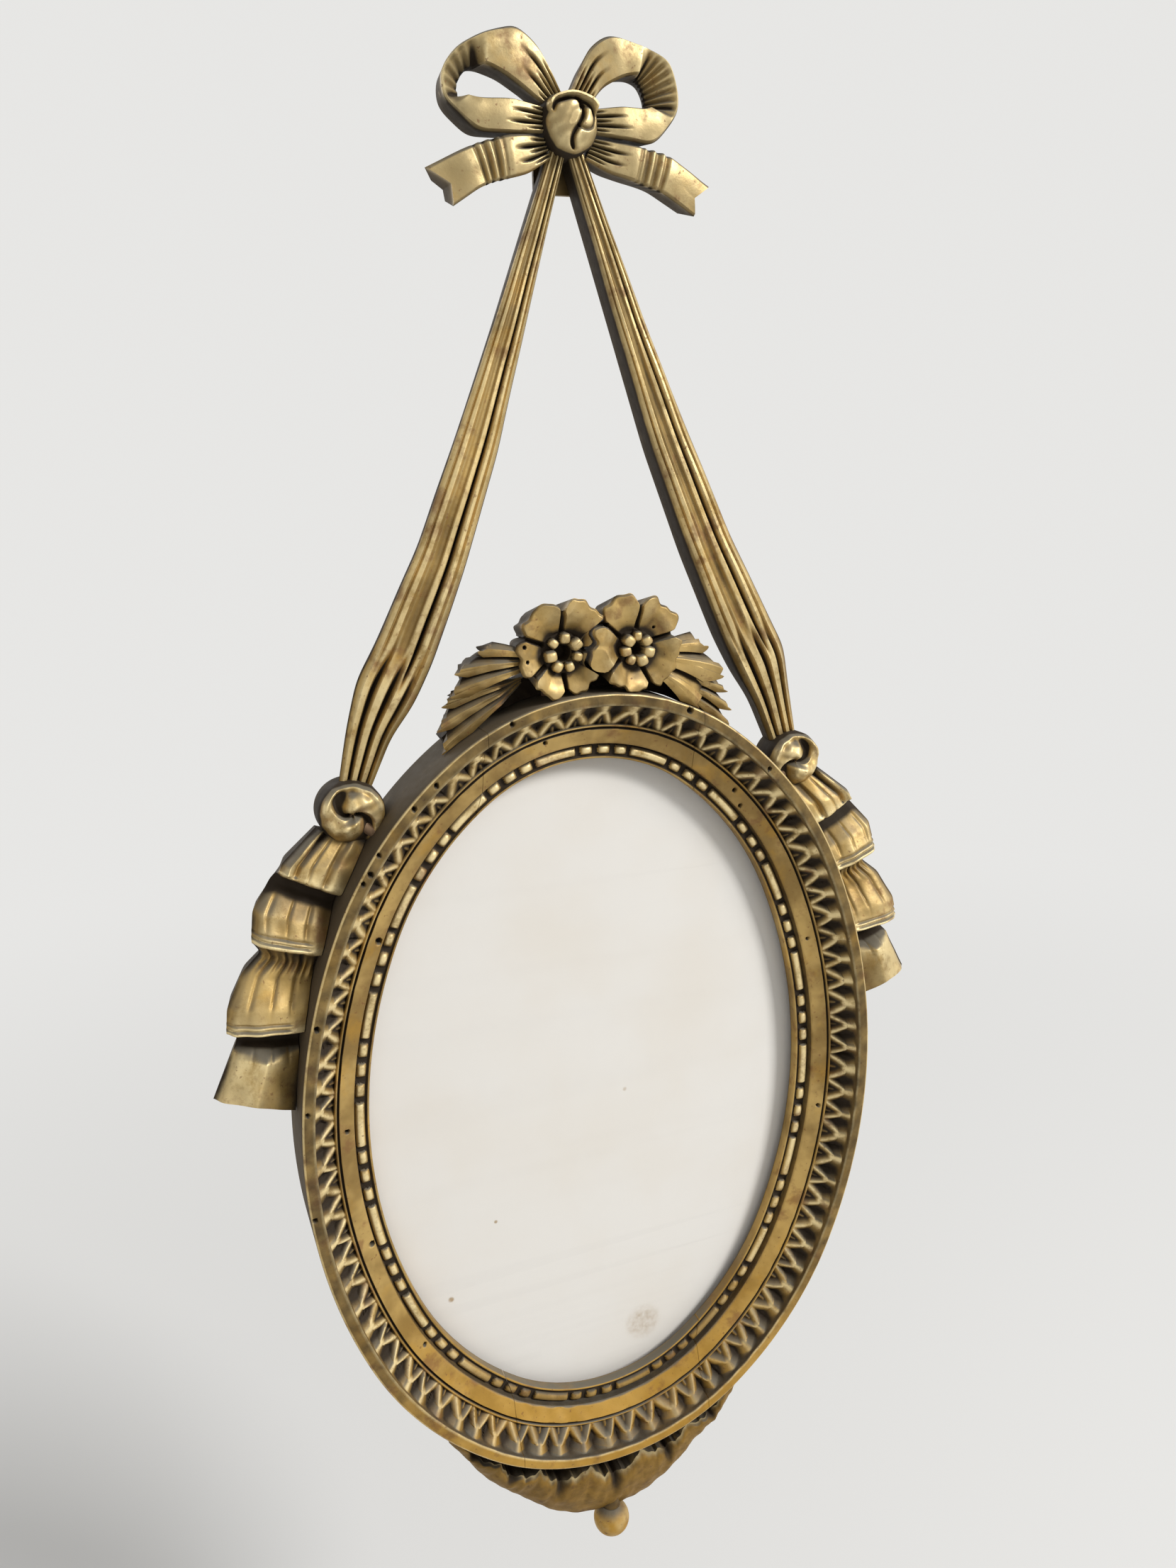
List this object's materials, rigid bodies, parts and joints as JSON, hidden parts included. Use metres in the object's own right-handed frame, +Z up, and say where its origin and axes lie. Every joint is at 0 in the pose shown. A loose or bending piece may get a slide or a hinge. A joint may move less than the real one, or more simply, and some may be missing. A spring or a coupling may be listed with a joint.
{
  "type": "oval picture frame",
  "caption": "Carved and gilded oval picture frame with a ribbon bow, long straps, fluttering side ribbons, a flower crest and a leaf pendant, hung on a wall by a ring.",
  "frame": {"origin": "point under the top of the hanging ring where the wall hook bears", "axes": "+X to the viewer's right, +Z up, -Y out of the wall towards the viewer"},
  "size_m": [0.1902, 0.0221, 0.3887],
  "materials": {
    "gilded_wood": "worn gold leaf over red bole, grimy recesses",
    "bare_wood": "bare",
    "board": "bare, aged",
    "card": "matt off-white paper card",
    "glass": "clear",
    "brass": "tarnished",
    "steel": "dull",
    "pad": "matt grey"
  },
  "bodies": {
    "frame": {"rail_left": "gilded_wood", "rail_right": "gilded_wood", "rail_top": "gilded_wood", "rail_bottom": "gilded_wood", "rail_dowels": "bare_wood", "ornament_dowels": "bare_wood", "glass": "glass", "picture_card": "card", "backing_board": "board", "turn_button_screws": "steel", "wall_pads": "pad", "bow_knot": "gilded_wood", "bow_loop_left": "gilded_wood", "bow_loop_right": "gilded_wood", "bow_tail_left": "gilded_wood", "bow_tail_right": "gilded_wood", "strap_left": "gilded_wood", "strap_right": "gilded_wood", "side_knot_left": "gilded_wood", "side_knot_right": "gilded_wood", "side_tail_left": "gilded_wood", "side_tail_right": "gilded_wood", "flower_left": "gilded_wood", "flower_right": "gilded_wood", "crest_leaf_left": "gilded_wood", "crest_leaf_right": "gilded_wood", "pendant_leaf": "gilded_wood", "pendant_ball": "gilded_wood", "hanger_plate": "brass", "hanger_screws": "steel"},
    "turn_button_upper_right": {"turn_button_upper_right": "brass"},
    "turn_button_upper_left": {"turn_button_upper_left": "brass"},
    "turn_button_lower_left": {"turn_button_lower_left": "brass"},
    "turn_button_lower_right": {"turn_button_lower_right": "brass"},
    "hanger_ring": {"hanger_ring": "brass"}
  },
  "joints": [
    {"name": "upper_right_button_pivot", "type": "hinge", "parent": "frame", "child": "turn_button_upper_right", "pos_m": [0.04003, 0.0012, -0.15279], "axis": [0, 1, 0], "continuous": true},
    {"name": "upper_left_button_pivot", "type": "hinge", "parent": "frame", "child": "turn_button_upper_left", "pos_m": [-0.04003, 0.0012, -0.15279], "axis": [0, 1, 0], "continuous": true},
    {"name": "lower_left_button_pivot", "type": "hinge", "parent": "frame", "child": "turn_button_lower_left", "pos_m": [-0.04003, 0.0012, -0.31481], "axis": [0, 1, 0], "continuous": true},
    {"name": "lower_right_button_pivot", "type": "hinge", "parent": "frame", "child": "turn_button_lower_right", "pos_m": [0.04003, 0.0012, -0.31481], "axis": [0, 1, 0], "continuous": true},
    {"name": "ring_hinge", "type": "hinge", "parent": "frame", "child": "hanger_ring", "pos_m": [0, 0, -0.0086], "axis": [-1, 0, 0], "range_deg": [0, 140]}
  ]
}
